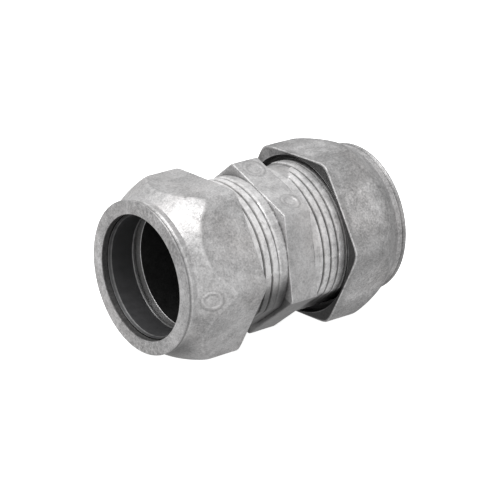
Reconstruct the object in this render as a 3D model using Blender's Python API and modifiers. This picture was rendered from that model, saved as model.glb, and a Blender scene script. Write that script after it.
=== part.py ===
"""Compression coupling for 3/4 inch trade size EMT conduit, in metres, +Z up.

The bore runs along X. The origin is on the bore's axis, midway through the body's hexagon.
Five pieces: a die-cast body with a thread at each end, two compression nuts, two split rings.
Both threads are right-handed, so a nut that turns about X moves along X by one pitch per turn.
"""

import bmesh
import bpy
from math import cos, pi, radians, sin, tan
from mathutils import Matrix

MM = 0.001
SEGMENTS = 24
CORNER_SEGMENTS = 2
MERGE_DISTANCE = 0.00001
CONE_CORNER_OFFSET = 30.0

# How far a cutter runs past what it cuts, in millimetres as every length below.
OVERRUN = 1.0

# The conduit and the clearances round it.
CONDUIT_RADIUS = 11.71
SOCKET_CLEARANCE = 0.14
RING_CLEARANCE = 0.12
THROAT_CLEARANCE = 0.63
SOCKET_RADIUS = CONDUIT_RADIUS + SOCKET_CLEARANCE
RING_BORE_RADIUS = CONDUIT_RADIUS + RING_CLEARANCE
THROAT_RADIUS = CONDUIT_RADIUS + THROAT_CLEARANCE

# The body.
THREAD_RADIUS = 14.77
THREAD_PITCH = 1.814
GROOVE_DEPTH = 0.52
GROOVE_WIDTH = 0.60
GROOVE_CUTTER_HEIGHT = 0.92
THREAD_SLOPE = GROOVE_WIDTH / 2.0 / GROOVE_DEPTH
BODY_HALF_LENGTH = 19.9
END_CHAMFER = 0.5
MOUTH_BEVEL = 1.5
STOP_RADIUS = 10.5
STOP_HALF_WIDTH = 0.8
RELIEF_APOTHEM = 14.0
RELIEF_WIDTH = 12.0
RELIEF_ANGLES = (38.0, -142.0)
HEXAGON_ACROSS_FLATS = 29.8
HEXAGON_HALF_WIDTH = 3.15
HEXAGON_CORNER_CUT = 0.45
HEXAGON_EDGE_BEVEL = 0.2
HEXAGON_CORNER_ANGLE = 8.0
NECK_LENGTH = 2.1

# The low land that the casting gate leaves on the right thread, beside the hexagon.
GATE_RADIUS = 14.35
GATE_END = 8.65
GATE_START_ANGLE = 45.0
GATE_SPAN = 60.0

# The compression nut. Depths are measured from its front face, towards the body.
NUT_ACROSS_FLATS = 32.9
NUT_LENGTH = 15.87
NUT_CORNER_CUT = 1.9
NOSE_RADIUS = 15.1
NOSE_ROUND = 0.15
NOSE_GROOVE_DEPTH = 0.74
NOSE_GROOVE_HALF_WIDTH = 0.28
NOSE_GROOVE_RADIUS = 14.74
COLLAR_RADIUS = 15.0
COLLAR_END = 2.2
FLAT_APEX_DEPTH = 4.4
FLAT_APEX_MARGIN = 0.05
CORNER_DEPTH = 9.8
THROAT_DEPTH = 1.36
SEAT_ANGLE = 40.0
POCKET_RADIUS = 13.9
POCKET_DEPTH = 5.9
NUT_BORE_RADIUS = 14.97
COUNTERBORE_RADIUS = 15.95
COUNTERBORE_DEPTH = 2.3
COUNTERBORE_SHOULDER = 0.6
RIDGE_TIP_RADIUS = 14.5
RIDGE_BASE_RADIUS = 15.3
RIDGE_TURNS = 3.25
RIDGE_REAR_GAP = 2.9

# The split ring that grips the conduit. Depths are measured from the nut's front face.
RING_FRONT = 1.25
RING_REAR = 7.65
RING_NOSE_RADIUS = 11.98
RING_NOSE_ROUND = 0.05
RING_BODY_RADIUS = 13.35
RING_FRONT_ROUND = 0.4
RING_MOUTH_START = 6.9
RING_MOUTH_MIDDLE = 7.275
RING_MOUTH_MIDDLE_RADIUS = 11.89
RING_MOUTH_RADIUS = 11.97
RING_TAIL_RADIUS = 12.05
RING_TAPER_START = 6.0
RING_SPLIT_WIDTH = 0.5
RING_SPLIT_ANGLE = -60.0
RING_SPLIT_HEIGHT = 6.0

# Where the nuts stand: their rear faces, and how far the right one is turned from the left one.
LEFT_NUT_REAR = -11.48
RIGHT_NUT_REAR = 10.75
RIGHT_NUT_TURN = 61.4
GROOVE_OFFSET = 0.331


def clear_scene():
    """Remove whatever the scene holds and start two collections."""
    for item in list(bpy.data.objects):
        bpy.data.objects.remove(item, do_unlink=True)
    for name in ("conduit_compression_fitting", "cutters"):
        collection = bpy.data.collections.new(name)
        bpy.context.scene.collection.children.link(collection)


def metal(name, colour, roughness, metallic):
    """One Principled material."""
    material = bpy.data.materials.new(name)
    material.use_nodes = True
    shader = material.node_tree.nodes["Principled BSDF"]
    shader.inputs["Base Color"].default_value = (*colour, 1.0)
    shader.inputs["Roughness"].default_value = roughness
    shader.inputs["Metallic"].default_value = metallic
    return material


def add_object(name, mesh, frame, material=None):
    """Link a mesh as a part when it has a material, and as a cutter when it has none."""
    item = bpy.data.objects.new(name, mesh)
    item.matrix_world = frame
    if material:
        mesh.materials.append(material)
        bpy.data.collections["conduit_compression_fitting"].objects.link(item)
    else:
        item.hide_render = True
        item.display_type = "WIRE"
        bpy.data.collections["cutters"].objects.link(item)
    return item


def turned(name, outline, frame, material=None):
    """A solid of revolution about X from an outline of (x, radius) points.

    The outline runs towards +X along its outer side and back along its inner side. One that
    starts and ends on the axis stays open there, and turns into a solid with no hole.
    """
    mesh = bpy.data.meshes.new(name)
    points = [(x * MM, 0.0, radius * MM) for x, radius in outline]
    edges = [(i + 1, i) for i in range(len(points) - 1)]
    if outline[0][1] > 0.0:
        edges.append((0, len(points) - 1))
    mesh.from_pydata(points, edges, [])
    item = add_object(name, mesh, frame, material)
    screw = item.modifiers.new("turn", "SCREW")
    screw.axis = "X"
    screw.steps = SEGMENTS
    screw.render_steps = SEGMENTS
    screw.use_merge_vertices = True
    screw.merge_threshold = MERGE_DISTANCE
    return item


def swept(name, section, start_angle, turns, pitch, frame):
    """A cutter swept about X from a section of (x, radius) points, moving one pitch a turn."""
    mesh = bpy.data.meshes.new(name)
    shape = bmesh.new()
    angle = radians(start_angle)
    corners = [
        shape.verts.new((x * MM, radius * MM * sin(angle), radius * MM * cos(angle)))
        for x, radius in section
    ]
    face = shape.faces.new(corners)
    steps = max(1, round(turns * SEGMENTS))
    bmesh.ops.spin(
        shape,
        geom=[face],
        cent=(0.0, 0.0, 0.0),
        axis=(1.0, 0.0, 0.0),
        dvec=(pitch * turns * MM / steps, 0.0, 0.0),
        angle=2.0 * pi * turns,
        steps=steps,
    )
    bmesh.ops.recalc_face_normals(shape, faces=shape.faces)
    shape.to_mesh(mesh)
    shape.free()
    return add_object(name, mesh, frame)


def hexagon(name, across_flats, low, high, corner_cut, corner_angle, frame, material=None):
    """A hexagonal prism along X with its six long edges rounded.

    The corner angle is that of one corner, measured from +Z towards +Y.
    """
    mesh = bpy.data.meshes.new(name)
    shape = bmesh.new()
    corner_radius = across_flats * MM / 2.0 / cos(pi / 6.0)
    place = (
        Matrix.Translation(((low + high) / 2.0 * MM, 0.0, 0.0))
        @ Matrix.Rotation(-radians(corner_angle + CONE_CORNER_OFFSET), 4, "X")
        @ Matrix.Rotation(radians(90.0), 4, "Y")
    )
    bmesh.ops.create_cone(
        shape,
        cap_ends=True,
        segments=6,
        radius1=corner_radius,
        radius2=corner_radius,
        depth=(high - low) * MM,
        matrix=place,
    )
    along = [
        edge
        for edge in shape.edges
        if abs((edge.verts[0].co - edge.verts[1].co).x) > (high - low) * MM / 2.0
    ]
    bmesh.ops.bevel(
        shape,
        geom=along,
        offset=corner_cut * MM,
        offset_type="OFFSET",
        segments=CORNER_SEGMENTS,
        profile=0.5,
        affect="EDGES",
    )
    bmesh.ops.recalc_face_normals(shape, faces=shape.faces)
    shape.to_mesh(mesh)
    shape.free()
    return add_object(name, mesh, frame, material)


def combine(item, tool, operation):
    """Add an exact Boolean."""
    boolean = item.modifiers.new(tool.name, "BOOLEAN")
    boolean.operation = operation
    boolean.object = tool
    boolean.solver = "EXACT"


def shade(item, angle=30.0):
    """Smooth the round faces and keep the edges crisp."""
    item.data.shade_smooth()
    item.data.set_sharp_from_angle(angle=radians(angle))


def arc(centre, radius, start, end, count):
    """Points (x, radius) on a round, from one angle to the other in degrees."""
    angles = [radians(start + (end - start) * i / count) for i in range(count + 1)]
    return [(centre[0] + radius * cos(a), centre[1] + radius * sin(a)) for a in angles]


def groove_start(side):
    """Where the groove crosses the +Z line nearest the nut's rear face, on one side."""
    if side < 0:
        return LEFT_NUT_REAR + GROOVE_OFFSET
    return RIGHT_NUT_REAR - GROOVE_OFFSET + THREAD_PITCH * RIGHT_NUT_TURN / 360.0


def thread_groove(name, side):
    """The cutter of one male thread: a narrow groove that leaves wide flat crests."""
    neck_end = HEXAGON_HALF_WIDTH + NECK_LENGTH
    crossing = groove_start(side)
    turns = (BODY_HALF_LENGTH - neck_end) / THREAD_PITCH + 1.0
    if side < 0:
        first = -BODY_HALF_LENGTH - THREAD_PITCH
    else:
        first = neck_end
    start = crossing + THREAD_PITCH * round((first - crossing) / THREAD_PITCH)
    bottom = THREAD_RADIUS - GROOVE_DEPTH
    top = bottom + GROOVE_CUTTER_HEIGHT
    half_top = THREAD_SLOPE * GROOVE_CUTTER_HEIGHT
    section = [(start, bottom), (start + half_top, top), (start - half_top, top)]
    return swept(name, section, 0.0, turns, THREAD_PITCH, Matrix.Identity(4))


def box_cutter(name, size, angle, centre, frame):
    """A box with its middle at (x, radius) and its top square to an angle from +Z towards +Y."""
    mesh = bpy.data.meshes.new(name)
    shape = bmesh.new()
    place = (
        Matrix.Rotation(-radians(angle), 4, "X")
        @ Matrix.Translation((centre[0] * MM, 0.0, centre[1] * MM))
        @ Matrix.Diagonal((size[0] * MM, size[1] * MM, size[2] * MM, 1.0))
    )
    bmesh.ops.create_cube(shape, size=1.0, matrix=place)
    shape.to_mesh(mesh)
    shape.free()
    return add_object(name, mesh, frame)


def gate_land():
    """The cutter that lowers the thread's crests where the gate was broken off."""
    low = HEXAGON_HALF_WIDTH / 2.0
    top = GATE_RADIUS + OVERRUN
    section = [(low, GATE_RADIUS), (GATE_END, GATE_RADIUS), (GATE_END, top), (low, top)]
    turns = GATE_SPAN / 360.0
    world = Matrix.Identity(4)
    return swept("gate_land", section, GATE_START_ANGLE, turns, THREAD_PITCH, world)


def coupling_body(material):
    """The casting: a threaded tube with a hexagon round its middle and a stop inside."""
    world = Matrix.Identity(4)
    end = BODY_HALF_LENGTH
    mouth = SOCKET_RADIUS + MOUTH_BEVEL
    outline = [
        (-end + END_CHAMFER, THREAD_RADIUS),
        (end - END_CHAMFER, THREAD_RADIUS),
        (end, THREAD_RADIUS - END_CHAMFER),
        (end, mouth),
        (end - MOUTH_BEVEL, SOCKET_RADIUS),
        (STOP_HALF_WIDTH, SOCKET_RADIUS),
        (STOP_HALF_WIDTH, STOP_RADIUS),
        (-STOP_HALF_WIDTH, STOP_RADIUS),
        (-STOP_HALF_WIDTH, SOCKET_RADIUS),
        (-end + MOUTH_BEVEL, SOCKET_RADIUS),
        (-end, mouth),
        (-end, THREAD_RADIUS - END_CHAMFER),
    ]
    body = turned("coupling_body", outline, world, material)
    grip = hexagon(
        "body_hexagon",
        HEXAGON_ACROSS_FLATS,
        -HEXAGON_HALF_WIDTH,
        HEXAGON_HALF_WIDTH,
        HEXAGON_CORNER_CUT,
        HEXAGON_CORNER_ANGLE,
        world,
    )
    bevel = grip.modifiers.new("edges", "BEVEL")
    bevel.width = HEXAGON_EDGE_BEVEL * MM
    bevel.segments = 1
    bevel.angle_limit = radians(60.0)
    past = HEXAGON_HALF_WIDTH + OVERRUN
    inside = THREAD_RADIUS - OVERRUN
    waist_outline = [(-past, 0.0), (-past, inside), (past, inside), (past, 0.0)]
    combine(grip, turned("hexagon_bore", waist_outline, world), "DIFFERENCE")
    for side, name in ((-1, "left_groove"), (1, "right_groove")):
        combine(body, thread_groove(name, side), "DIFFERENCE")
    size = (2.0 * (end + OVERRUN), RELIEF_WIDTH, 2.0 * OVERRUN)
    for angle, name in zip(RELIEF_ANGLES, ("upper_relief", "lower_relief")):
        relief = box_cutter(name, size, angle, (0.0, RELIEF_APOTHEM + OVERRUN), world)
        combine(body, relief, "DIFFERENCE")
    combine(body, gate_land(), "DIFFERENCE")
    combine(body, grip, "UNION")
    return body


def nut_outline():
    """The nut's turned outside, as (depth, radius) points from the axis back to the axis."""
    corner_radius = NUT_ACROSS_FLATS / 2.0 / cos(pi / 6.0)
    apex_radius = NUT_ACROSS_FLATS / 2.0 + FLAT_APEX_MARGIN
    slope = (corner_radius - apex_radius) / (CORNER_DEPTH - FLAT_APEX_DEPTH)
    past_corner = corner_radius + OVERRUN
    past_end = NUT_LENGTH + OVERRUN
    nose = arc(
        (NOSE_ROUND, NOSE_RADIUS - NOSE_ROUND), NOSE_ROUND, 180.0, 90.0, CORNER_SEGMENTS
    )
    return [(0.0, 0.0)] + nose + [
        (NOSE_GROOVE_DEPTH - NOSE_GROOVE_HALF_WIDTH, NOSE_RADIUS),
        (NOSE_GROOVE_DEPTH, NOSE_GROOVE_RADIUS),
        (NOSE_GROOVE_DEPTH + NOSE_GROOVE_HALF_WIDTH, COLLAR_RADIUS),
        (COLLAR_END, COLLAR_RADIUS),
        (FLAT_APEX_DEPTH, apex_radius),
        (CORNER_DEPTH + OVERRUN / slope, past_corner),
        (past_end, past_corner),
        (past_end, 0.0),
    ]


def bore_outline():
    """The nut's hollow, as (depth, radius) points: throat, seat, pocket, thread, counterbore."""
    seat_length = (POCKET_RADIUS - THROAT_RADIUS) / tan(radians(SEAT_ANGLE))
    shoulder = NUT_LENGTH - COUNTERBORE_DEPTH
    return [
        (-OVERRUN, 0.0),
        (-OVERRUN, THROAT_RADIUS),
        (THROAT_DEPTH, THROAT_RADIUS),
        (THROAT_DEPTH + seat_length, POCKET_RADIUS),
        (POCKET_DEPTH, POCKET_RADIUS),
        (POCKET_DEPTH, NUT_BORE_RADIUS),
        (shoulder, NUT_BORE_RADIUS),
        (shoulder + COUNTERBORE_SHOULDER, COUNTERBORE_RADIUS),
        (NUT_LENGTH + OVERRUN, COUNTERBORE_RADIUS),
        (NUT_LENGTH + OVERRUN, 0.0),
    ]


def nut_ridge(name, frame):
    """The nut's thread: a narrow ridge that runs in the body's groove."""
    half_base = THREAD_SLOPE * (RIDGE_BASE_RADIUS - RIDGE_TIP_RADIUS)
    rear = -RIDGE_REAR_GAP - RIDGE_TURNS * THREAD_PITCH
    start = GROOVE_OFFSET + THREAD_PITCH * round((rear - GROOVE_OFFSET) / THREAD_PITCH)
    section = [
        (start, RIDGE_TIP_RADIUS),
        (start + half_base, RIDGE_BASE_RADIUS),
        (start - half_base, RIDGE_BASE_RADIUS),
    ]
    return swept(name, section, 0.0, RIDGE_TURNS, THREAD_PITCH, frame)


def compression_nut(name, frame, material):
    """A hexagon nut, in a frame whose origin is at its rear face and whose nose points to -X."""
    nut = hexagon(
        name, NUT_ACROSS_FLATS, -NUT_LENGTH, 0.0, NUT_CORNER_CUT, 30.0, frame, material
    )
    outside = [(depth - NUT_LENGTH, radius) for depth, radius in nut_outline()]
    inside = [(depth - NUT_LENGTH, radius) for depth, radius in bore_outline()]
    combine(nut, turned(name + "_outside", outside, frame), "INTERSECT")
    combine(nut, turned(name + "_bore", inside, frame), "DIFFERENCE")
    combine(nut, nut_ridge(name + "_ridge", frame), "UNION")
    return nut


def compression_ring(name, frame, material):
    """The split ring, in its nut's frame: a rounded nose, a gripping bore and a tapered tail."""
    shoulder = RING_FRONT + (RING_BODY_RADIUS - RING_NOSE_RADIUS) / tan(radians(SEAT_ANGLE))
    outline = [
        (RING_FRONT, RING_NOSE_RADIUS - RING_NOSE_ROUND),
        (RING_FRONT + RING_NOSE_ROUND, RING_NOSE_RADIUS),
        (shoulder, RING_BODY_RADIUS),
        (RING_TAPER_START, RING_BODY_RADIUS),
        (RING_REAR, RING_TAIL_RADIUS),
        (RING_REAR, RING_MOUTH_RADIUS),
        (RING_MOUTH_MIDDLE, RING_MOUTH_MIDDLE_RADIUS),
        (RING_MOUTH_START, RING_BORE_RADIUS),
        (RING_FRONT + RING_FRONT_ROUND, RING_BORE_RADIUS),
    ]
    section = [(depth - NUT_LENGTH, radius) for depth, radius in outline]
    ring = turned(name, section, frame, material)
    centre = ((RING_FRONT + RING_REAR) / 2.0 - NUT_LENGTH, RING_BODY_RADIUS)
    size = (RING_REAR - RING_FRONT + 2.0 * OVERRUN, RING_SPLIT_WIDTH, RING_SPLIT_HEIGHT)
    split = box_cutter(name + "_split", size, RING_SPLIT_ANGLE, centre, frame)
    combine(ring, split, "DIFFERENCE")
    return ring


def main():
    clear_scene()
    zinc = metal("cast_zinc", (0.56, 0.56, 0.55), 0.45, 0.85)
    left_zinc = metal("left_nut_zinc", (0.50, 0.50, 0.49), 0.5, 0.85)
    right_zinc = metal("right_nut_zinc", (0.50, 0.50, 0.49), 0.5, 0.85)
    left_steel = metal("left_ring_steel", (0.40, 0.40, 0.41), 0.3, 1.0)
    right_steel = metal("right_ring_steel", (0.40, 0.40, 0.41), 0.3, 1.0)

    left_frame = Matrix.Translation((LEFT_NUT_REAR * MM, 0.0, 0.0))
    right_frame = (
        Matrix.Translation((RIGHT_NUT_REAR * MM, 0.0, 0.0))
        @ Matrix.Rotation(-radians(RIGHT_NUT_TURN), 4, "X")
        @ Matrix.Rotation(pi, 4, "Z")
    )
    parts = [
        coupling_body(zinc),
        compression_nut("left_compression_nut", left_frame, left_zinc),
        compression_nut("right_compression_nut", right_frame, right_zinc),
        compression_ring("left_compression_ring", left_frame, left_steel),
        compression_ring("right_compression_ring", right_frame, right_steel),
    ]
    for item in parts:
        shade(item)


main()
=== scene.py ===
"""Looks of the conduit compression coupling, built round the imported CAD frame.

The sizes of the body, the nuts and the rings are in millimetres, and the camera, the lights and
the finished meshes are in metres. Each piece is a fine mesh laid out on rows of points round the
X axis. An angle round the axis is in degrees, measured from +Z towards +Y.
"""

import bmesh
import bpy
import numpy as np
from math import cos, pi, radians, sin, tan
from mathutils import Matrix, Vector


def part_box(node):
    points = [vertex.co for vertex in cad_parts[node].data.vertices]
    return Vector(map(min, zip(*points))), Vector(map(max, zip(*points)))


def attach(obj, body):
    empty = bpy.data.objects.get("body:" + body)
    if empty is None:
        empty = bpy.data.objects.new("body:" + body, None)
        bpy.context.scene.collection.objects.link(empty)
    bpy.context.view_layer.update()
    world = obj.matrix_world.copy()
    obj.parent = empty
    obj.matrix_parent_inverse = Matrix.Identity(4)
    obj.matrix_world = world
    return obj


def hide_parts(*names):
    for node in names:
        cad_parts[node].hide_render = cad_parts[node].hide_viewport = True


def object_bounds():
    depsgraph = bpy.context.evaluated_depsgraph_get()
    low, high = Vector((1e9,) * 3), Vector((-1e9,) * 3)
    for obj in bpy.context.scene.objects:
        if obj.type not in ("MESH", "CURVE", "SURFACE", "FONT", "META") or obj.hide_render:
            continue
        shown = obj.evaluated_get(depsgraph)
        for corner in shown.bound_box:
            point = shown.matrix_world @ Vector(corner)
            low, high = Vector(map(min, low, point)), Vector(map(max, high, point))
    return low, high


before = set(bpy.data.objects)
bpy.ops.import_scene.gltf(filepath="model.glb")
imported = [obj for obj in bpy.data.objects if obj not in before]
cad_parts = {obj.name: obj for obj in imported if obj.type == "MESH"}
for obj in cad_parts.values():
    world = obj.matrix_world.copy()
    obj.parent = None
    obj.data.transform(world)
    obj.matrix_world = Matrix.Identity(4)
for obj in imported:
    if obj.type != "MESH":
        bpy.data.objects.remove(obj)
CAD_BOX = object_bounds()

MM = 0.001
BODY_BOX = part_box("coupling_body")
LEFT_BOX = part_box("left_compression_nut")
RIGHT_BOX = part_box("right_compression_nut")

# The body, in millimetres from the hexagon's middle.
THREAD_RADIUS = 14.77
THREAD_PITCH = 1.814
GROOVE_DEPTH = 0.52
GROOVE_HALF_WIDTH = 0.26
THREAD_SLOPE = GROOVE_HALF_WIDTH / GROOVE_DEPTH
BODY_HALF_LENGTH = BODY_BOX[1].x / MM
END_CHAMFER = 0.5
SOCKET_RADIUS = 11.85
MOUTH_RADIUS = 13.35
MOUTH_DEPTH = 1.5
STOP_RADIUS = 10.5
STOP_HALF_WIDTH = 0.8
STOP_TAPER = 0.15
HEXAGON_APOTHEM = 14.9
HEXAGON_HALF_WIDTH = 3.15
HEXAGON_CORNER = 8.0
HEXAGON_ROUND = 0.24
NECK_LENGTH = 1.9
HEXAGON_SHARPNESS = 80.0
MARK_RADIUS = 16.0
RELIEF_ANGLES = (38.0, -142.0)
RELIEF_APOTHEM = 14.0
LAND_START_ANGLE = -26.0
LAND_END_ANGLE = 52.0
LAND_END = 8.9
FLASH_HEIGHT = 0.15
FLASH_WIDTH = 0.55
MOUTH_RIM_STEP = 0.09
MOUTH_RIM_EDGE = 0.04
BODY_COLUMNS = 390

# Where a thread's rows lie within one pitch, from the groove's or the ridge's middle.
BODY_GROOVE_STEPS = (-0.42, -0.29, -0.16, 0.0, 0.16, 0.29, 0.42, 0.907)
NUT_RIDGE_STEPS = (-0.45, -0.27, -0.12, 0.0, 0.12, 0.27, 0.45, 0.907)

# How much painted shade lies on the sides of the body's hexagon, darkest in the corner by the
# thread: share of the way out, darkness.
HEXAGON_FACE_SHADE = ((0.0, 0.75), (0.15, 0.5), (0.5, 0.25), (0.9, 0.1))

# Round marks on the body's hexagon: distance along X, angle round it, size.
BODY_MARKS = ((0.17, -1.5, 1.8), (0.84, -41.3, 1.5))

# The nut; depths are from its front face.
NUT_LENGTH = (LEFT_BOX[1].x - LEFT_BOX[0].x) / MM
NUT_APOTHEM = 16.45
NUT_EDGE_SHARPNESS = 26.0
NUT_CORNER_RADIUS = NUT_APOTHEM / cos(pi / 6.0)
NUT_COLUMNS = 384
NOSE_RADIUS = 15.1
NOSE_ROUND = 0.16
THROAT_RADIUS = 12.34
THROAT_ROUND = 0.06
THROAT_DEPTH = 1.36
SEAT_ANGLE = 40.0
POCKET_RADIUS = 13.9
POCKET_DEPTH = 5.9
NUT_BORE_RADIUS = 14.97
RIDGE_HEIGHT = 0.47
COUNTERSINK_RADIUS = 15.95
COUNTERSINK_DEPTH = 2.3
COUNTERSINK_SHOULDER = 0.6
REAR_ROUND = 0.2
EDGE_BLEND = 260.0
FACE_RADIUS = 14.0
FLARE_START = 2.2
FLARE_START_RADIUS = 15.0
FLAT_APEX_DEPTH = 4.5
CORNER_DEPTH = 10.2
# Angle round a nut where the painted shade on its rear face is lightest.
LIGHTER_REAR_ANGLE = 30.0
NUT_MARK_DEPTH = 4.5
NUT_MARK_ANGLE = -93.0
NUT_MARK_SIZE = 1.55

# Behind the nose's rim: depth, radius, darkness and brightness of the groove and the collar; the
# darkness is painted shade in the groove and the brightness a painted highlight on the collar's
# edges.
NOSE_GROOVE = (
    (0.32, 15.07, 0.1, 0.0),
    (0.46, 14.97, 0.25, 0.0),
    (0.58, 14.82, 0.45, 0.0),
    (0.7, 14.74, 0.5, 0.0),
    (0.82, 14.78, 0.35, 0.0),
    (0.94, 14.9, 0.15, 0.0),
    (1.04, 14.98, 0.0, 0.4),
    (1.16, 15.0, 0.0, 0.5),
    (1.28, 15.0, 0.0, 0.1),
    (1.5, 15.0, 0.0, 0.0),
    (1.8, 15.0, 0.0, 0.0),
    (2.0, 15.0, 0.0, 0.0),
    (2.12, 15.005, 0.0, 0.3),
)

# Where the nuts stand, and how far the right one is turned.
LEFT_NUT_REAR = LEFT_BOX[1].x / MM
RIGHT_NUT_REAR = RIGHT_BOX[0].x / MM
RIGHT_NUT_TURN = 61.4
GROOVE_OFFSET = 0.331

# The split ring; depths are from its nut's front face.
RING_FRONT = 1.25
RING_REAR = 7.65
RING_BORE_RADIUS = 11.83
RING_BODY_RADIUS = 13.35
RING_NOSE_RADIUS = 12.0
RING_TAIL_RADIUS = 12.05
RING_MOUTH_RADIUS = 11.98
RING_TAPER_START = 6.0
RING_SPLIT_WIDTH = 0.3
RING_SPLIT_ANGLE = -60.0
RING_COLUMNS = 240

# The ring's rolled rear lip and its front edge: depth, radius, darkness and brightness; the
# darkness is painted shade and the brightness a painted highlight with some wear, laid across the
# rounding as light would fall.
RING_LIP = (
    (7.6, 11.88, 0.6, 0.0),
    (7.5, 11.80, 0.4, 0.1),
    (7.4, 11.755, 0.2, 0.3),
    (7.28, 11.735, 0.05, 0.6),
    (7.16, 11.73, 0.0, 0.9),
    (7.06, 11.745, 0.0, 1.0),
    (6.97, 11.785, 0.0, 1.0),
    (6.88, 11.82, 0.3, 0.5),
)
RING_EDGE = (
    (2.06, 11.832, 1.0, 0.0),
    (2.01, 11.836, 0.0, 1.0),
    (1.84, 11.873, 0.0, 1.0),
    (1.78, 11.885, 0.5, 0.3),
    (1.6, 11.92, 0.7, 0.0),
    (1.36, 11.975, 0.7, 0.0),
)

# How bright or dark each surface is. The body, nut and ring values below paint shade on the
# surfaces that face the floor. The crest values paint a highlight on the thread crests. The groove
# values paint shade in the grooves. The inside-nut value paints shade on the thread where it runs
# into a nut. The two nut values make each nut darker overall.
ZINC_METALLIC = 0.55
BODY_UNDERSIDE_SHADE = 0.8
LEFT_CREST_HIGHLIGHT = 1.8
RIGHT_CREST_HIGHLIGHT = 1.35
LEFT_GROOVE_SHADE = 0.5
RIGHT_GROOVE_SHADE = 0.6
INSIDE_NUT_SHADE = 0.6
NUT_UNDERSIDE_SHADE = 0.66
LEFT_NUT_DARKENING = 0.02
RIGHT_NUT_DARKENING = 0.30
RING_UNDERSIDE_SHADE = 0.65

# The angle round the axis that faces the floor.
FLOOR_ANGLE = 180.0

# The camera, in degrees, metres and, for its lens, millimetres.
CAMERA_AZIMUTH = -38.62
CAMERA_ELEVATION = 20.32
CAMERA_ROLL = -0.53
CAMERA_DISTANCE = 0.4998
CAMERA_LENS = 184.7
CAMERA_AIM = Vector((-0.00019, 0.0, 0.0))
CAMERA_SHIFT_RIGHT = -0.00039
CAMERA_SHIFT_UP = -0.00077


# ---------------------------------------------------------------- mesh building

def column_angles(first_corner, count):
    """Angles round the axis, closer together near the corners of a hexagon."""
    per_side = count // 6
    s = np.arange(per_side) / per_side * 2.0 - 1.0
    within = 30.0 * (0.45 * s + 0.55 * np.sin(s * pi / 2.0))
    sides = [first_corner + 30.0 + 60.0 * k + within for k in range(6)]
    return np.radians(np.concatenate(sides))


def polygon_radius(angles, planes, sharpness):
    """Radius of a rounded polygon: each plane is its normal's angle in degrees and its distance."""
    total = np.zeros_like(angles)
    for normal, distance in planes:
        lean = np.maximum(np.cos(angles - radians(normal)), 0.0) / distance
        total += lean ** sharpness
    return total ** (-1.0 / sharpness)


def soft_ramp(value, softness):
    """The positive part of a value, with its corner at zero rounded off."""
    return 0.5 * (value + np.sqrt(value * value + softness * softness))


def smooth_step(value, low, high):
    """0 below low, 1 above high, and a smooth rise between."""
    t = np.clip((np.asarray(value) - low) / (high - low), 0.0, 1.0)
    return t * t * (3.0 - 2.0 * t)


def wave_noise(a, b, seed):
    """A smooth, repeatable unevenness of two coordinates, about -1 to 1."""
    draw = np.random.default_rng(seed)
    total = np.zeros(np.broadcast(a, b).shape)
    for _ in range(7):
        pa, pb = draw.uniform(-1.0, 1.0, 2)
        shift = draw.uniform(0.0, 2.0 * pi)
        total = total + np.sin(a * pa + b * pb + shift)
    return total / 4.0


def underside(angles, floor_angle, low=0.55, corner=None):
    """1 where a surface faces the floor, for painting shade on the underside; with a corner's
    angle, one value for each flat.
    """
    if corner is not None:
        side = np.degrees(angles - radians(corner)) / 60.0
        flat = np.floor(side)
        within = side - flat
        step = smooth_step(within, 0.96, 1.0) * 0.5 - (1.0 - smooth_step(within, 0.0, 0.04)) * 0.5
        angles = np.radians(corner + 60.0 * (flat + 0.5 + step))
    return smooth_step(np.cos(angles - radians(floor_angle)), low, low + 0.33)


def stain(dark, more):
    """Two darkening masks, one over the other."""
    return 1.0 - (1.0 - dark) * (1.0 - more)


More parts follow.
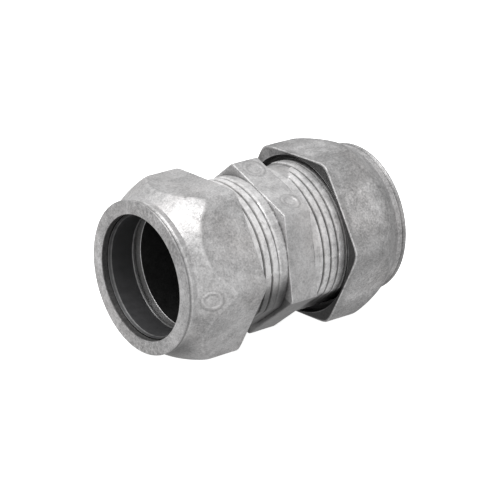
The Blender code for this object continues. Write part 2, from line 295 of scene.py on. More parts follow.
class Skin:
    """Collects bands of points round X, with two masks, and makes them one closed mesh: one darkens
    the colour with painted shade and real stains, the other brightens it with painted highlight and
    some wear.
    """

    def __init__(self, angles):
        self.angles = angles
        self.points = []
        self.hollow = []
        self.highlight_and_wear = []
        self.faces = []
        self.count = 0

    def band(self, rows, seam_shift=0, close=True):
        """Rows are (x, radius, hollow, polish), each a number or one value per column."""
        columns = len(self.angles)
        for x, radius, hollow, highlight_and_wear in rows:
            radius = np.broadcast_to(np.asarray(radius, float), (columns,))
            x = np.broadcast_to(np.asarray(x, float), (columns,))
            point = np.stack(
                [x, radius * np.sin(self.angles), radius * np.cos(self.angles)], axis=1
            )
            self.points.append(point * MM)
            self.hollow.append(np.broadcast_to(np.asarray(hollow, float), (columns,)))
            self.highlight_and_wear.append(np.broadcast_to(np.asarray(highlight_and_wear, float), (columns,)))
        row, column = np.meshgrid(
            np.arange(len(rows) - 1), np.arange(columns if close else columns - 1), indexing="ij"
        )
        beside = (column + 1) % columns
        shift = np.where(beside == 0, seam_shift, 0)
        near = row - shift
        a = self.count + row * columns + column
        b = self.count + (row + 1) * columns + column
        c = self.count + (near + 1) * columns + beside
        d = self.count + near * columns + beside
        keep = near >= 0
        self.faces.append(np.stack([a, b, c, d], axis=-1)[keep])
        self.count += len(rows) * columns

    def object(self, name, matrix, material, caps=()):
        """The finished piece, its doubled points merged."""
        mesh = bpy.data.meshes.new(name)
        points = np.concatenate(self.points)
        faces = [tuple(int(i) for i in face) for face in np.concatenate(self.faces)]
        faces += [tuple(cap) for cap in caps]
        mesh.from_pydata(points.tolist(), [], faces)
        for mask, values in (("hollow", self.hollow), ("highlight_and_wear", self.highlight_and_wear)):
            layer = mesh.attributes.new(mask, "FLOAT", "POINT")
            layer.data.foreach_set("value", np.concatenate(values).astype(np.float32))
        shape = bmesh.new()
        shape.from_mesh(mesh)
        bmesh.ops.remove_doubles(shape, verts=shape.verts, dist=0.000002)
        shape.to_mesh(mesh)
        shape.free()
        mesh.transform(matrix)
        mesh.shade_smooth()
        mesh.set_sharp_from_angle(angle=radians(50.0))
        item = bpy.data.objects.new(name, mesh)
        bpy.context.scene.collection.objects.link(item)
        mesh.materials.append(material)
        return item


def line(start, end, count):
    """Points (x, radius) on a straight stretch, its end left out."""
    t = np.arange(count) / count
    return [(start[0] + (end[0] - start[0]) * k, start[1] + (end[1] - start[1]) * k) for k in t]


def arc(centre, radius, start, end, count):
    """Points (x, radius) on a round, from one angle in degrees to the other, its end left out."""
    angles = [radians(start + (end - start) * k / count) for k in range(count)]
    return [(centre[0] + radius * cos(a), centre[1] + radius * sin(a)) for a in angles]


# ---------------------------------------------------------------- threads

def groove_crossing(side):
    """Where the body's groove crosses the +Z line nearest a nut's rear face, in millimetres."""
    if side < 0:
        return LEFT_NUT_REAR + GROOVE_OFFSET
    return RIGHT_NUT_REAR - GROOVE_OFFSET + THREAD_PITCH * RIGHT_NUT_TURN / 360.0


def helix_rows(crossing, low, high, angles, offsets):
    """Axial places of points that follow a helix, held between two ends."""
    per_turn = len(offsets)
    first = int(np.floor((low - crossing) / THREAD_PITCH + angles.min() / (2.0 * pi))) - 1
    last = int(np.ceil((high - crossing) / THREAD_PITCH + angles.max() / (2.0 * pi))) + 2
    rows = []
    for turn in range(first, last):
        for offset in offsets:
            x = crossing + turn * THREAD_PITCH + offset - THREAD_PITCH * angles / (2.0 * pi)
            rows.append(np.clip(x, low, high))
    return rows, per_turn


def helix_distance(x, angles, crossing):
    """Axial distance from the nearest groove's middle."""
    along = x - crossing + THREAD_PITCH * angles / (2.0 * pi)
    return along - THREAD_PITCH * np.round(along / THREAD_PITCH)


def groove_cut(distance):
    """Depth of the 60 degree groove at an axial distance from its middle, its edges rounded."""
    rounded = np.sqrt(distance * distance + 0.03 ** 2) - 0.03
    depth = soft_ramp(GROOVE_DEPTH - rounded / THREAD_SLOPE, 0.05)
    return np.where(np.abs(distance) > GROOVE_HALF_WIDTH * 2.2, 0.0, depth)


# ---------------------------------------------------------------- the body

def wrapped_degrees(angles):
    """Angles in degrees, from -180 to 180."""
    return (np.degrees(angles) + 180.0) % 360.0 - 180.0


def gate_mask(x, angles):
    """1 on the low land that the casting gate leaves on the right thread's top."""
    around = wrapped_degrees(angles)
    start = LAND_START_ANGLE + (x - HEXAGON_HALF_WIDTH) * 4.0
    across = smooth_step(around, start - 1.5, start + 1.5)
    across = across * (1.0 - smooth_step(around, LAND_END_ANGLE - 2.0, LAND_END_ANGLE + 2.0))
    edge = x - (groove_crossing(1) - THREAD_PITCH * np.radians(around) / (2.0 * pi) - THREAD_PITCH)
    return across * (1.0 - smooth_step(edge, -0.08, 0.08)) * smooth_step(x, 3.0, 3.1)


def flash_height(x, angles):
    """Thin uneven flash along the two parting lines."""
    around = wrapped_degrees(angles)
    height = 0.0
    for line_angle, seed in ((-90.0, 3), (90.0, 4)):
        wander = 0.35 * wave_noise(x * 1.3, 0.0, seed)
        ridge = np.exp(-(((around - line_angle - wander) / FLASH_WIDTH) ** 2))
        ragged = 0.5 + 0.5 * wave_noise(x * 4.1, 0.0, seed + 10)
        height = height + FLASH_HEIGHT * ridge * np.clip(ragged, 0.0, 1.0)
    return height


def thread_radius(x, angles, side):
    """The threaded surface's radius, and how deep in the groove a point is, from 0 to 1."""
    crossing = groove_crossing(side)
    cut = groove_cut(helix_distance(x, angles, crossing))
    inner = HEXAGON_HALF_WIDTH + NECK_LENGTH
    run_out = smooth_step(np.abs(x), inner, inner + 0.5)
    flash = flash_height(x, angles)
    cut = cut * run_out * (1.0 - np.clip(flash * 6.0, 0.0, 0.6))
    swell = 0.012 * wave_noise(x * 0.9, np.degrees(angles) * 0.05, 21 + int(side))
    radius = THREAD_RADIUS - cut + flash + swell
    land = gate_mask(x, angles)
    ramp = smooth_step(np.abs(x), HEXAGON_HALF_WIDTH, LAND_END)
    low = THREAD_RADIUS - 0.1 - (GROOVE_DEPTH - 0.15) * ramp + 3.0 * swell
    radius = radius * (1.0 - land) + low * land
    cut = cut * (1.0 - land)
    for normal in RELIEF_ANGLES:
        lean = np.maximum(np.cos(angles - radians(normal)), 0.5)
        flat = RELIEF_APOTHEM / lean + 2.0 * swell
        radius = flat - soft_ramp(flat - radius, 0.06)
    from_end = BODY_HALF_LENGTH - np.abs(x)
    radius = np.minimum(radius, THREAD_RADIUS - END_CHAMFER + from_end)
    return radius, np.clip(cut / GROOVE_DEPTH, 0.0, 1.0)


def hexagon_radius(angles):
    """The radius of the body's hexagon, its long edges slightly rounded."""
    planes = [(HEXAGON_CORNER + 30.0 + 60.0 * k, HEXAGON_APOTHEM) for k in range(6)]
    return polygon_radius(angles, planes, HEXAGON_SHARPNESS)


def hexagon_rows(angles):
    """The hexagon from its left face to its right face, edges rounded, with painted shade in the
    corners by the thread and underneath, and a painted highlight on its edges.
    """
    flat = hexagon_radius(angles)
    # Painted shade on the flats that face the floor.
    below = BODY_UNDERSIDE_SHADE * underside(angles, FLOOR_ANGLE, corner=HEXAGON_CORNER)
    rows = []
    for side in (-1.0, 1.0):
        base, _ = thread_radius(np.full(len(angles), side * HEXAGON_HALF_WIDTH), angles, int(side))
        base = np.minimum(base, flat - 0.02)
        edge = np.minimum(HEXAGON_ROUND, 0.7 * (flat - base))
        face = [
            (side * HEXAGON_HALF_WIDTH, base + (flat - edge - base) * t, stain(dark, below), 0.0)
            for t, dark in HEXAGON_FACE_SHADE
        ]
        turn = []
        for k in range(6):
            a = radians(90.0 * k / 5.0)
            x = side * (HEXAGON_HALF_WIDTH - edge * (1.0 - cos(a)))
            # Painted highlight on the rounded edge.
            turn.append((x, flat - edge + edge * sin(a), below, 0.4 * sin(2.0 * a)))
        if side < 0:
            rows += face + turn
            middle = HEXAGON_HALF_WIDTH - HEXAGON_ROUND
            for x in np.linspace(-middle, middle, 32)[1:-1]:
                height, outline = 0.0, 0.0
                # Round marks, with painted shade along their rims.
                for x_mark, angle_mark, size in BODY_MARKS:
                    rise, dark = round_mark(x, angles, x_mark, angle_mark, size)
                    height = height + rise
                    outline = outline + dark
                uneven = 0.02 * wave_noise(x * 1.3, np.degrees(angles) * 0.1, 41)
                rows.append((x, flat + height + uneven, stain(outline, below), 0.0))
        else:
            rows += turn[::-1] + face[::-1]
    return rows


def coupling_body(material):
    """The casting: thread, hexagon, thread, and the bore with its stop."""
    angles = column_angles(HEXAGON_CORNER, BODY_COLUMNS)
    skin = Skin(angles)
    end = BODY_HALF_LENGTH
    inner = HEXAGON_HALF_WIDTH + NECK_LENGTH
    for side in (-1, 1):
        low, high = (-end, -inner) if side < 0 else (inner, end)
        if side > 0:
            skin.band(hexagon_rows(angles))
            skin.band(plain_thread(HEXAGON_HALF_WIDTH, inner, angles, side))
        crossing = groove_crossing(side)
        places, per_turn = helix_rows(crossing, low, high, angles, BODY_GROOVE_STEPS)
        below = thread_underside(angles, side)
        crest = LEFT_CREST_HIGHLIGHT if side < 0 else RIGHT_CREST_HIGHLIGHT
        groove_shade = LEFT_GROOVE_SHADE if side < 0 else RIGHT_GROOVE_SHADE
        rear = -LEFT_NUT_REAR if side < 0 else RIGHT_NUT_REAR
        rows = []
        for x in places:
            radius, depth = thread_radius(x, angles, side)
            # Painted shade on the thread where it runs into the nut.
            inside_nut = INSIDE_NUT_SHADE * smooth_step(np.abs(x), rear - 0.1, rear + 0.6)
            land = gate_mask(x, angles) * (side > 0)
            # Painted highlight on the thread crests, dimmed inside the nut, on the gate land and on
            # the underside; the flash ridges get one too.
            bright = crest * (1.0 - depth) ** 2 * (1.0 - inside_nut) * (1.0 - 0.8 * land)
            bright = np.clip(bright + 8.0 * flash_height(x, angles), 0.0, 1.7)
            # Painted shade deep in the grooves.
            dark = np.maximum(groove_shade * smooth_step(depth, 0.0, 0.45), inside_nut)
            dark = np.maximum(dark, 0.1 * land)
            rows.append((x, radius, stain(dark, below), bright * (1.0 - below)))
        skin.band(rows, seam_shift=per_turn)
        if side < 0:
            skin.band(plain_thread(-inner, -HEXAGON_HALF_WIDTH, angles, side))
    skin.band(mouth_rows(angles, 1.0) + mouth_rows(angles, -1.0)[::-1])
    return skin.object("coupling_body_casting", Matrix.Identity(4), material)


def mouth_rows(angles, side):
    """One end of the body: its face, the bevelled mouth, the socket and half the stop."""
    end = BODY_HALF_LENGTH
    radius, depth = thread_radius(np.full(len(angles), side * end), angles, side)
    # The end face carries the groove's painted shade a little way in; below, the mouth's bevel and
    # the bore are painted dark as shade, and the rim between them gets a painted highlight.
    rows = [
        (side * end, radius + (MOUTH_RADIUS - radius) * t, depth * (1.0 - t), 0.0)
        for t in (0.0, 0.3, 0.7, 0.95)
    ]
    rim_x = end - MOUTH_DEPTH
    bevel = line((end, MOUTH_RADIUS), (rim_x, SOCKET_RADIUS), 6)
    bevel.append((rim_x + MOUTH_RIM_STEP, SOCKET_RADIUS + MOUTH_RIM_STEP))
    rows += [(side * x, r, 0.85, 0.0) for x, r in bevel]
    rim = [(rim_x + MOUTH_RIM_EDGE, SOCKET_RADIUS + MOUTH_RIM_EDGE), (rim_x, SOCKET_RADIUS)]
    rows += [(side * x, r, 0.0, 1.1) for x, r in rim]
    bore = line((rim_x, SOCKET_RADIUS), (STOP_HALF_WIDTH, SOCKET_RADIUS), 6)
    bore[0] = (rim_x - MOUTH_RIM_STEP, SOCKET_RADIUS)
    stop_edge = STOP_HALF_WIDTH - STOP_TAPER
    stop = line((STOP_HALF_WIDTH, SOCKET_RADIUS), (stop_edge, STOP_RADIUS), 4)
    stop += [(stop_edge, STOP_RADIUS), (0.0, STOP_RADIUS)]
    rows += [(side * x, r, 1.0, 0.0) for x, r in bore + stop]
    return rows


def thread_underside(angles, side):
    """How much painted shade lies on the underside of a thread; on the left one it reaches further
    round.
    """
    if side < 0:
        return BODY_UNDERSIDE_SHADE * underside(angles, 200.0, 0.32)
    return BODY_UNDERSIDE_SHADE * underside(angles, 188.0)


def plain_thread(low, high, angles, side):
    """The smooth neck between the hexagon and the first groove."""
    rows = []
    for x in np.linspace(low, high, 6):
        radius, depth = thread_radius(np.full(len(angles), x), angles, side)
        # Painted shade in the corner by the hexagon, in the grooves and underneath, and a painted
        # highlight on top.
        corner = 0.55 * (abs(x) < HEXAGON_HALF_WIDTH + 0.05)
        below = thread_underside(angles, side)
        rows.append((x, radius, stain(np.maximum(depth, corner), below), 0.7 * (1.0 - below)))
    return rows


# ---------------------------------------------------------------- the nuts

def round_mark(x, angles, x_mark, angle_mark, size):
    """Height and darkness of a plain round mark that an ejector pin leaves; the darkness is painted
    shade along both sides of its rim.
    """
    around = np.radians(wrapped_degrees(angles - radians(angle_mark))) * MARK_RADIUS
    distance = np.hypot(x - x_mark, around)
    rim = np.exp(-(((distance - size) / 0.24) ** 2))
    dish = 1.0 - smooth_step(distance, size - 0.5, size)
    outline = np.exp(-(((distance - size - 0.42) / 0.17) ** 2))
    outline = outline + 0.7 * np.exp(-(((distance - size + 0.42) / 0.17) ** 2))
    return 0.13 * rim - 0.10 * dish, 0.32 * outline


def flare_radius(depth):
    """The nut's flare between its nose and its corners, slightly hollow."""
    span = CORNER_DEPTH - FLARE_START
    t = (depth - FLARE_START) / span
    apex = (FLAT_APEX_DEPTH - FLARE_START) / span
    rise = NUT_CORNER_RADIUS - FLARE_START_RADIUS
    dip = (NUT_APOTHEM - FLARE_START_RADIUS - rise * apex) / (apex * (1.0 - apex))
    return FLARE_START_RADIUS + rise * t + dip * t * (1.0 - t)


def face_stain(angles, radius, seed):
    """Dull film and dark specks on the nose's flat face."""
    around = np.degrees(angles)
    film = 0.02 + 0.09 * wave_noise(radius * 0.8, around * 0.06, seed)
    specks = np.random.default_rng(seed + int(100.0 * radius)).uniform(0.0, 1.0, len(angles)) ** 2
    patch = smooth_step(wave_noise(radius * 0.9, around * 0.05, seed + 2), -0.3, 0.9)
    return np.clip(film + specks * (0.14 + 0.4 * patch), 0.0, 1.0)


def nut_outside(angles, darkening, floor_angle, seed):
    """Rows from the nose's face, over the flare and the hexagon, to the rear edge."""
    planes = [(60.0 * k, NUT_APOTHEM) for k in range(6)]
    flats = polygon_radius(angles, planes, NUT_EDGE_SHARPNESS)
    # Painted shade on the nut's underside; on the nose it reaches further round.
    below = NUT_UNDERSIDE_SHADE * underside(angles, floor_angle, 0.72)
    nose_below = NUT_UNDERSIDE_SHADE * underside(angles, floor_angle, 0.45)
    nose = [(0.0, r, face_stain(angles, r, seed), 0.15) for r in (FACE_RADIUS, 14.25, 14.5)]
    nose += [
        (x, r, face_stain(angles, r + x, seed), 0.0)
        for x, r in arc((NOSE_ROUND, NOSE_RADIUS - NOSE_ROUND), NOSE_ROUND, 180.0, 90.0, 8)
    ]
    nose += NOSE_GROOVE
    rows = []
    for x, r, h, p in nose:
        # The nose is made darker like the rest of the nut, with painted shade underneath.
        shade_and_darkening = stain(0.5 * darkening * (x > 0.0), nose_below * smooth_step(x, 0.2, 0.8))
        rows.append((x, r, stain(h, shade_and_darkening), p))
    depths = np.concatenate([
        np.linspace(FLARE_START, CORNER_DEPTH + 0.4, 46),
        np.linspace(CORNER_DEPTH + 0.6, NUT_LENGTH - REAR_ROUND, 22),
    ])
    for depth in depths:
        flare = flare_radius(min(depth, CORNER_DEPTH + 2.0))
        flare += max(0.0, depth - CORNER_DEPTH - 2.0)
        ratio = np.minimum(flats, flare) / np.maximum(flats, flare)
        radius = np.minimum(flats, flare) * (1.0 + ratio ** EDGE_BLEND) ** (-1.0 / EDGE_BLEND)
        meeting = np.exp(-(((flats - flare) / 0.25) ** 2))
        corner = smooth_step(flats, NUT_APOTHEM * 1.10, NUT_CORNER_RADIUS * 0.995)
        on_flat = smooth_step(flare - flats, 0.0, 0.3)
        mark = (NUT_MARK_DEPTH, NUT_MARK_ANGLE, NUT_MARK_SIZE)
        # The mark, with painted shade along its rim.
        height, line_mask = round_mark(depth, angles, *mark)
        # Painted highlight, with some wear, where the flare meets the flats and on the corners.
        edge_highlight_and_wear = np.clip(0.4 * meeting + 0.5 * corner * on_flat, 0.0, 1.0)
        uneven = 0.03 * wave_noise(depth * 1.1, np.degrees(angles) * 0.09, 31)
        centre = smooth_step(flats, NUT_APOTHEM * 1.06, NUT_APOTHEM * 1.005)
        centre = centre * smooth_step(depth, 5.0, 7.5) * (1.0 - smooth_step(depth, 13.5, 15.5))
        # Each nut is made darker overall, less so in the middle of its flats, with a thin darker
        # line where the flats meet the flare; painted shade is added underneath.
        shade_and_darkening = darkening * (1.0 - centre)
        shade_and_darkening = shade_and_darkening + 0.16 * np.exp(-(((flare - flats - 0.2) / 0.13) ** 2))
        under = nose_below + (0.75 * below - nose_below) * smooth_step(depth, 2.0, 5.5)
        shade_and_darkening = stain(shade_and_darkening, under)
        rows.append((depth, radius + height + uneven, np.maximum(line_mask, shade_and_darkening), edge_highlight_and_wear))
    # The rounded rear edge: painted shade underneath and a painted highlight along it.
    for k in range(1, 6):
        a = radians(90.0 * k / 5.0)
        x = NUT_LENGTH - REAR_ROUND * (1.0 - sin(a))
        rows.append((x, flats - REAR_ROUND * (1.0 - cos(a)), below, 0.35 * sin(2.0 * a)))
    return rows, flats - REAR_ROUND


def from_rear(rows):
    """Rows whose depths from the front face are turned into places from the rear face."""
    return [(x - NUT_LENGTH, r, h, p) for x, r, h, p in rows]


def compression_nut(name, matrix, material, floor_angle, darkening, seed):
    """A nut in its own frame: rear face at the origin, nose towards -X."""
    angles = column_angles(30.0, NUT_COLUMNS)
    skin = Skin(angles)
    outside, rear_edge = nut_outside(angles, darkening, floor_angle, seed)
    # The rear face, which faces the hexagon, is painted nearly black as shade, lighter round one
    # angle, with a painted highlight on the counterbore's edge; the counterbore is painted dark as
    # shade.
    from_lighter = wrapped_degrees(angles - radians(LIGHTER_REAR_ANGLE))
    rear_shade = 0.97 - 0.5 * np.exp(-((from_lighter / 20.0) ** 2))
    rear = [
        (NUT_LENGTH, rear_edge + (COUNTERSINK_RADIUS - rear_edge) * t, rear_shade, 0.0)
        for t in (0.15, 0.4, 0.7, 0.9)
    ]
    rear.append((NUT_LENGTH, COUNTERSINK_RADIUS + 0.05, rear_shade - 0.25, 0.3))
    thread_rear = NUT_LENGTH - COUNTERSINK_DEPTH
    shoulder = (thread_rear + COUNTERSINK_SHOULDER, COUNTERSINK_RADIUS - 0.15)
    sink = line((NUT_LENGTH, COUNTERSINK_RADIUS), shoulder, 4)
    sink += line(shoulder, (thread_rear, NUT_BORE_RADIUS), 3)
    rear += [(x, r, 0.93, 0.0) for x, r in sink]
    rear.append((thread_rear, NUT_BORE_RADIUS, 0.9, 0.0))
    seat_end = THROAT_DEPTH + (POCKET_RADIUS - THROAT_RADIUS) / tan(radians(SEAT_ANGLE))
    inside = line((POCKET_DEPTH, NUT_BORE_RADIUS), (POCKET_DEPTH, POCKET_RADIUS), 3)
    inside += line((POCKET_DEPTH, POCKET_RADIUS), (seat_end, POCKET_RADIUS), 5)
    inside += line((seat_end, POCKET_RADIUS), (THROAT_DEPTH, THROAT_RADIUS), 5)
    inside += line((THROAT_DEPTH, THROAT_RADIUS), (THROAT_ROUND, THROAT_RADIUS), 5)
    throat_edge = THROAT_RADIUS + THROAT_ROUND
    # The throat, seat and pocket are painted dark as shade inside the nut.
    front = [(x, r, 0.82, 0.0) for x, r in inside]
    front += [
        (x, r, 0.5, 0.0)
        for x, r in arc((THROAT_ROUND, throat_edge), THROAT_ROUND, 270.0, 180.0, 3)
    ]
    face = line((0.0, throat_edge), (0.0, FACE_RADIUS), 8) + [(0.0, FACE_RADIUS)]
    front += [(x, r, face_stain(angles, r, seed), 0.15) for x, r in face]
    thread, per_turn = inner_thread(angles, POCKET_DEPTH - NUT_LENGTH, -COUNTERSINK_DEPTH)
    skin.band(from_rear(outside + rear))
    skin.band(thread, seam_shift=per_turn)
    skin.band(from_rear(front))
    return skin.object(name, matrix, material)


def inner_thread(angles, low, high):
    """The nut's ridges, from the thread's rear end to the pocket."""
    places, per_turn = helix_rows(GROOVE_OFFSET, low, high, angles, NUT_RIDGE_STEPS)
    rows = []
    for x in places:
        distance = helix_distance(x, angles, GROOVE_OFFSET)
        rise = soft_ramp(RIDGE_HEIGHT - np.abs(distance) / THREAD_SLOPE, 0.04)
        rise = np.where(np.abs(distance) > 0.6, 0.0, rise)
        ends = smooth_step(x, low, low + 0.7) * (1.0 - smooth_step(x, high - 0.4, high))
        # The ridges inside the nut are painted dark as shade.
        rows.append((x, NUT_BORE_RADIUS - rise * ends, 0.7, 0.0))
    return rows, per_turn


# ---------------------------------------------------------------- the split rings

def ring_outline():
    """The ring's section as (depth, radius, darkness, brightness), outside first, then the bore;
    the bore and rear are painted dark as shade, and the edges get a painted highlight with some
    wear.
    """
    slope = tan(radians(SEAT_ANGLE))
    shoulder = (RING_FRONT + (RING_BODY_RADIUS - RING_NOSE_RADIUS) / slope, RING_BODY_RADIUS)
    taper = (RING_TAPER_START, RING_BODY_RADIUS)
    tail = (RING_REAR, RING_TAIL_RADIUS)
    nose = line((RING_FRONT, RING_NOSE_RADIUS), shoulder, 4)
    outline = [(x, r, 0.0, 0.8) for x, r in nose]
    outline += [(x, r, 0.3, 0.2) for x, r in line(shoulder, taper, 4)]
    outline += [(x, r, 0.0, 0.6) for x, r in line(taper, tail, 4)]
    outline += [(RING_REAR, RING_TAIL_RADIUS, 0.9, 0.0), (RING_REAR, RING_MOUTH_RADIUS, 0.9, 0.0)]
    outline += RING_LIP
    outline += [(6.8, RING_BORE_RADIUS, 1.0, 0.0)]
    outline += [(x, RING_BORE_RADIUS, 1.0, 0.0) for x in np.linspace(6.6, 2.12, 9)]
    outline += RING_EDGE
    return outline


def compression_ring(name, matrix, material):
    """A split ring in its nut's frame."""
    half_gap = RING_SPLIT_WIDTH / 2.0 / RING_BODY_RADIUS
    start = radians(RING_SPLIT_ANGLE) + half_gap
    angles = np.linspace(start, start + 2.0 * (pi - half_gap), RING_COLUMNS)
    skin = Skin(angles)
    outline = ring_outline()
    # Painted shade towards the bottom of the ring's dark bore and rear.
    below = RING_UNDERSIDE_SHADE * underside(angles, FLOOR_ANGLE)
    rows = [(x - NUT_LENGTH, r, stain(h, below * h), p) for x, r, h, p in outline]
    rows.append(rows[0])
    skin.band(rows, close=False)
    columns = len(angles)
    first = [k * columns for k in range(len(outline))]
    last = [k * columns + columns - 1 for k in range(len(outline))][::-1]
    return skin.object(name, matrix, material, caps=(first, last))


# ---------------------------------------------------------------- materials

class Nodes:
    """Short forms for building a node tree in the object's own coordinates."""

    def __init__(self, name):
        self.material = bpy.data.materials.new(name)
        self.material.use_nodes = True
        self.tree = self.material.node_tree
        self.shader = self.tree.nodes["Principled BSDF"]
        self.coords = self.add("ShaderNodeTexCoord")

    def add(self, kind, **values):
        node = self.tree.nodes.new(kind)
        for key, value in values.items():
            setattr(node, key, value)
        return node

    def link(self, output, socket):
        self.tree.links.new(output, socket)

    def noise(self, scale, detail, roughness=0.5, distortion=0.0):
        node = self.add("ShaderNodeTexNoise")
        node.inputs["Scale"].default_value = scale
        node.inputs["Detail"].default_value = detail
        node.inputs["Roughness"].default_value = roughness
        node.inputs["Distortion"].default_value = distortion
        self.link(self.coords.outputs["Object"], node.inputs["Vector"])
        return node.outputs["Fac"]

    def ramp(self, source, low, high, from_min=0.0, from_max=1.0):
        node = self.add("ShaderNodeMapRange")
        node.inputs["From Min"].default_value = from_min
        node.inputs["From Max"].default_value = from_max
        node.inputs["To Min"].default_value = low
        node.inputs["To Max"].default_value = high
        self.link(source, node.inputs["Value"])
        return node.outputs["Result"]

    def math(self, operation, first, second):
        node = self.add("ShaderNodeMath", operation=operation)
        for socket, value in zip(node.inputs, (first, second)):
            if isinstance(value, (int, float)):
                socket.default_value = value
            else:
                self.link(value, socket)
        return node.outputs["Value"]

    def mix(self, factor, first, second, blend="MIX"):
        node = self.add("ShaderNodeMix", data_type="RGBA", blend_type=blend)
        sockets = (node.inputs[0], node.inputs[6], node.inputs[7])
        for socket, value in zip(sockets, (factor, first, second)):
            if isinstance(value, (int, float)):
                socket.default_value = value
            elif isinstance(value, tuple):
                socket.default_value = (*value, 1.0)
            else:
                self.link(value, socket)
        return node.outputs[2]

    def mask(self, name):
        node = self.add("ShaderNodeAttribute", attribute_name=name)
        return node.outputs["Fac"]

    def bump(self, height, strength, distance, before=None):
        node = self.add("ShaderNodeBump")
        node.inputs["Strength"].default_value = strength
        node.inputs["Distance"].default_value = distance
        self.link(height, node.inputs["Height"])
        if before:
            self.link(before, node.inputs["Normal"])
        return node.outputs["Normal"]


def cast_zinc(name, tone, roughness, blotch):
    """As-cast zinc: cloudy grey and fine speckle, brighter on edges and crests for painted
    highlight and some wear, and darker in hollows, bores and undersides for painted shade, with
    real stains.
    """
    n = Nodes(name)
    clouds = n.noise(150.0, 3.0, 0.55, 0.8)
    mottle = n.noise(700.0, 4.0, 0.6, 0.4)
    speckle = n.noise(2500.0, 3.0, 0.65, 0.3)
    pits = n.noise(4300.0, 2.0, 0.6)
    value = n.math("ADD", n.ramp(clouds, -0.10, 0.10, 0.32, 0.68), tone)
    value = n.math("ADD", value, n.ramp(mottle, -0.08 * blotch, 0.08 * blotch, 0.30, 0.70))
    value = n.math("ADD", value, n.ramp(speckle, -0.15 * blotch, 0.17 * blotch, 0.28, 0.72))
    value = n.math("SUBTRACT", value, n.ramp(pits, 0.0, 0.22, 0.60, 0.78))
    # Painted highlight, with some wear, on edges, rims and crests.
    highlight_and_wear = n.math("MULTIPLY", n.mask("highlight_and_wear"), n.ramp(mottle, 0.45, 1.0, 0.35, 0.6))
    value = n.math("ADD", value, n.math("MULTIPLY", highlight_and_wear, 0.26))
    # Painted shade in hollows, bores and undersides, and real stains, darken the colour.
    stain_and_shade_factor = n.math("SUBTRACT", 1.0, n.math("MULTIPLY", n.mask("hollow"), 0.93))
    value = n.math("MULTIPLY", value, stain_and_shade_factor)
    value = n.math("MAXIMUM", value, 0.02)
    grey = n.add("ShaderNodeCombineColor")
    for socket, tint in zip(grey.inputs, (1.006, 0.996, 0.998)):
        n.link(n.math("MULTIPLY", value, tint), socket)
    warm = n.ramp(n.noise(95.0, 2.0), 0.0, 0.5, 0.45, 0.75)
    base = n.mix(warm, grey.outputs["Color"], (1.0, 0.965, 0.945), "MULTIPLY")
    n.link(base, n.shader.inputs["Base Color"])
    rough = n.ramp(mottle, roughness - 0.08, roughness + 0.10, 0.3, 0.7)
    rough = n.math("SUBTRACT", rough, n.math("MULTIPLY", highlight_and_wear, 0.02))
    n.link(rough, n.shader.inputs["Roughness"])
    n.shader.inputs["Metallic"].default_value = ZINC_METALLIC
    normal = n.bump(mottle, 0.5, 0.00012)
    normal = n.bump(speckle, 0.6, 0.00006, normal)
    normal = n.bump(pits, 0.4, 0.00003, normal)
    n.link(normal, n.shader.inputs["Normal"])
    return n.material


def ring_steel(name):
    """Plated spring steel: grey satin, painted darker inside as shade, and brighter where its edges
    are worn and catch light, a painted highlight.
    """
    n = Nodes(name)
    streaks = n.noise(900.0, 4.0, 0.6)
    fine = n.noise(3800.0, 3.0, 0.6)
    base = n.mix(n.ramp(streaks, 0.0, 1.0, 0.35, 0.65), (0.24, 0.24, 0.245), (0.34, 0.34, 0.34))
    # Painted shade inside the bore.
    base = n.mix(n.mask("hollow"), base, (0.15, 0.15, 0.155))
    # Painted highlight, with some wear, on the edges.
    edge_highlight_and_wear = n.math("MULTIPLY", n.mask("highlight_and_wear"), n.ramp(streaks, 0.5, 0.9, 0.35, 0.65))
    base = n.mix(edge_highlight_and_wear, base, (0.5, 0.5, 0.5))
    n.link(base, n.shader.inputs["Base Color"])
    rough = n.ramp(streaks, 0.40, 0.54, 0.3, 0.7)
    n.link(rough, n.shader.inputs["Roughness"])
    n.shader.inputs["Metallic"].default_value = 0.8
    n.link(n.bump(fine, 0.4, 0.00002), n.shader.inputs["Normal"])
    return n.material


def paper_floor():
    """The plain pale floor."""
    n = Nodes("paper_floor")
    tooth = n.noise(90.0, 4.0)
    paper = n.mix(n.ramp(tooth, 0.0, 1.0, 0.3, 0.7), (0.90, 0.90, 0.90), (0.93, 0.93, 0.93))
    n.link(paper, n.shader.inputs["Base Color"])
    n.shader.inputs["Roughness"].default_value = 0.9
    n.shader.inputs["Emission Color"].default_value = (1.0, 1.0, 1.0, 1.0)
    n.shader.inputs["Emission Strength"].default_value = 0.9
    return n.material


# ---------------------------------------------------------------- camera and light

def camera_axes():
    """The camera's right, up and back directions."""
    a, e, roll = radians(CAMERA_AZIMUTH), radians(CAMERA_ELEVATION), radians(CAMERA_ROLL)
    back = Vector((sin(a) * cos(e), -cos(a) * cos(e), sin(e)))
    right = Vector((0.0, 0.0, 1.0)).cross(back).normalized()
    up = back.cross(right)
    return cos(roll) * right + sin(roll) * up, -sin(roll) * right + cos(roll) * up, back


def add_camera():
    """The camera at the photograph's angle."""
    right, up, back = camera_axes()
    data = bpy.data.cameras.new("camera")
    data.lens = CAMERA_LENS
    data.sensor_width = 36.0
    data.clip_start = 0.01
    camera = bpy.data.objects.new("camera", data)
    place = CAMERA_AIM + back * CAMERA_DISTANCE + right * CAMERA_SHIFT_RIGHT + up * CAMERA_SHIFT_UP
    turn = Matrix((right, up, back)).transposed()
    camera.matrix_world = Matrix.Translation(place) @ turn.to_4x4()
    bpy.context.scene.collection.objects.link(camera)
    bpy.context.scene.camera = camera


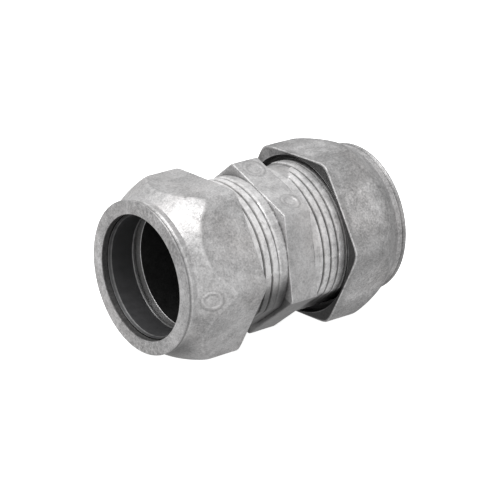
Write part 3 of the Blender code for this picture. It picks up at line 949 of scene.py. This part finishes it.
def add_softbox(name, direction, distance, size, power):
    """A square area light that faces the object from a direction."""
    data = bpy.data.lights.new(name, "AREA")
    data.shape = "SQUARE"
    data.size = size
    data.energy = power
    lamp = bpy.data.objects.new(name, data)
    way = Vector(direction).normalized()
    lamp.location = way * distance
    lamp.rotation_mode = "QUATERNION"
    lamp.rotation_quaternion = way.to_track_quat("Z", "Y")
    bpy.context.scene.collection.objects.link(lamp)


def add_world():
    """A soft surround, bright above and dim below."""
    world = bpy.data.worlds.new("studio")
    world.use_nodes = True
    tree = world.node_tree
    background = tree.nodes["Background"]
    coords = tree.nodes.new("ShaderNodeTexCoord")
    split = tree.nodes.new("ShaderNodeSeparateXYZ")
    height = tree.nodes.new("ShaderNodeMapRange")
    height.inputs["From Min"].default_value = -1.0
    height.inputs["From Max"].default_value = 0.0
    height.inputs["To Min"].default_value = 0.92
    height.inputs["To Max"].default_value = 1.0
    tree.links.new(coords.outputs["Generated"], split.inputs[0])
    tree.links.new(split.outputs["Z"], height.inputs["Value"])
    tree.links.new(height.outputs["Result"], background.inputs["Color"])
    background.inputs["Strength"].default_value = 0.58
    bpy.context.scene.world = world


def add_floor():
    """A plain pale floor just under the object."""
    bpy.ops.mesh.primitive_plane_add(size=6.0, location=(0.0, 0.0, CAD_BOX[0].z - 0.0002))
    floor = bpy.context.object
    floor.name = "floor"
    floor.data.materials.append(paper_floor())
    floor.visible_glossy = False
    floor.visible_diffuse = False


def main():
    add_camera()
    add_world()
    add_floor()
    add_softbox("key_light", (-0.41, -0.08, 0.91), distance=0.9, size=0.45, power=5.0)
    add_softbox("front_light", (-0.62, -0.78, 0.0), distance=0.9, size=0.7, power=0.9)
    bpy.context.scene.view_settings.view_transform = "Standard"

    body_zinc = cast_zinc("body_zinc", tone=0.60, roughness=0.42, blotch=0.8)
    left_zinc = cast_zinc("left_nut_zinc", tone=0.56, roughness=0.44, blotch=1.0)
    right_zinc = cast_zinc("right_nut_zinc", tone=0.56, roughness=0.46, blotch=1.3)
    left_frame = Matrix.Translation((LEFT_NUT_REAR * MM, 0.0, 0.0))
    right_frame = (
        Matrix.Translation((RIGHT_NUT_REAR * MM, 0.0, 0.0))
        @ Matrix.Rotation(-radians(RIGHT_NUT_TURN), 4, "X")
        @ Matrix.Rotation(pi, 4, "Z")
    )
    casting = coupling_body(body_zinc)
    left_nut = compression_nut(
        "left_nut_casting", left_frame, left_zinc, FLOOR_ANGLE, LEFT_NUT_DARKENING, 50
    )
    right_nut = compression_nut(
        "right_nut_casting",
        right_frame,
        right_zinc,
        RIGHT_NUT_TURN - FLOOR_ANGLE,
        RIGHT_NUT_DARKENING,
        60,
    )
    left_ring = compression_ring("left_split_ring", left_frame, ring_steel("left_ring_steel"))
    right_ring = compression_ring("right_split_ring", right_frame, ring_steel("right_ring_steel"))
    pieces = [
        (casting, "coupling_body", "coupling_body", "body_zinc"),
        (left_nut, "left_nut", "left_compression_nut", "nut_zinc"),
        (right_nut, "right_nut", "right_compression_nut", "nut_zinc"),
        (left_ring, "left_ring", "left_compression_ring", "ring_steel"),
        (right_ring, "right_ring", "right_compression_ring", "ring_steel"),
    ]
    for piece, body, node, slot in pieces:
        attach(piece, body)
        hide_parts(node)


main()
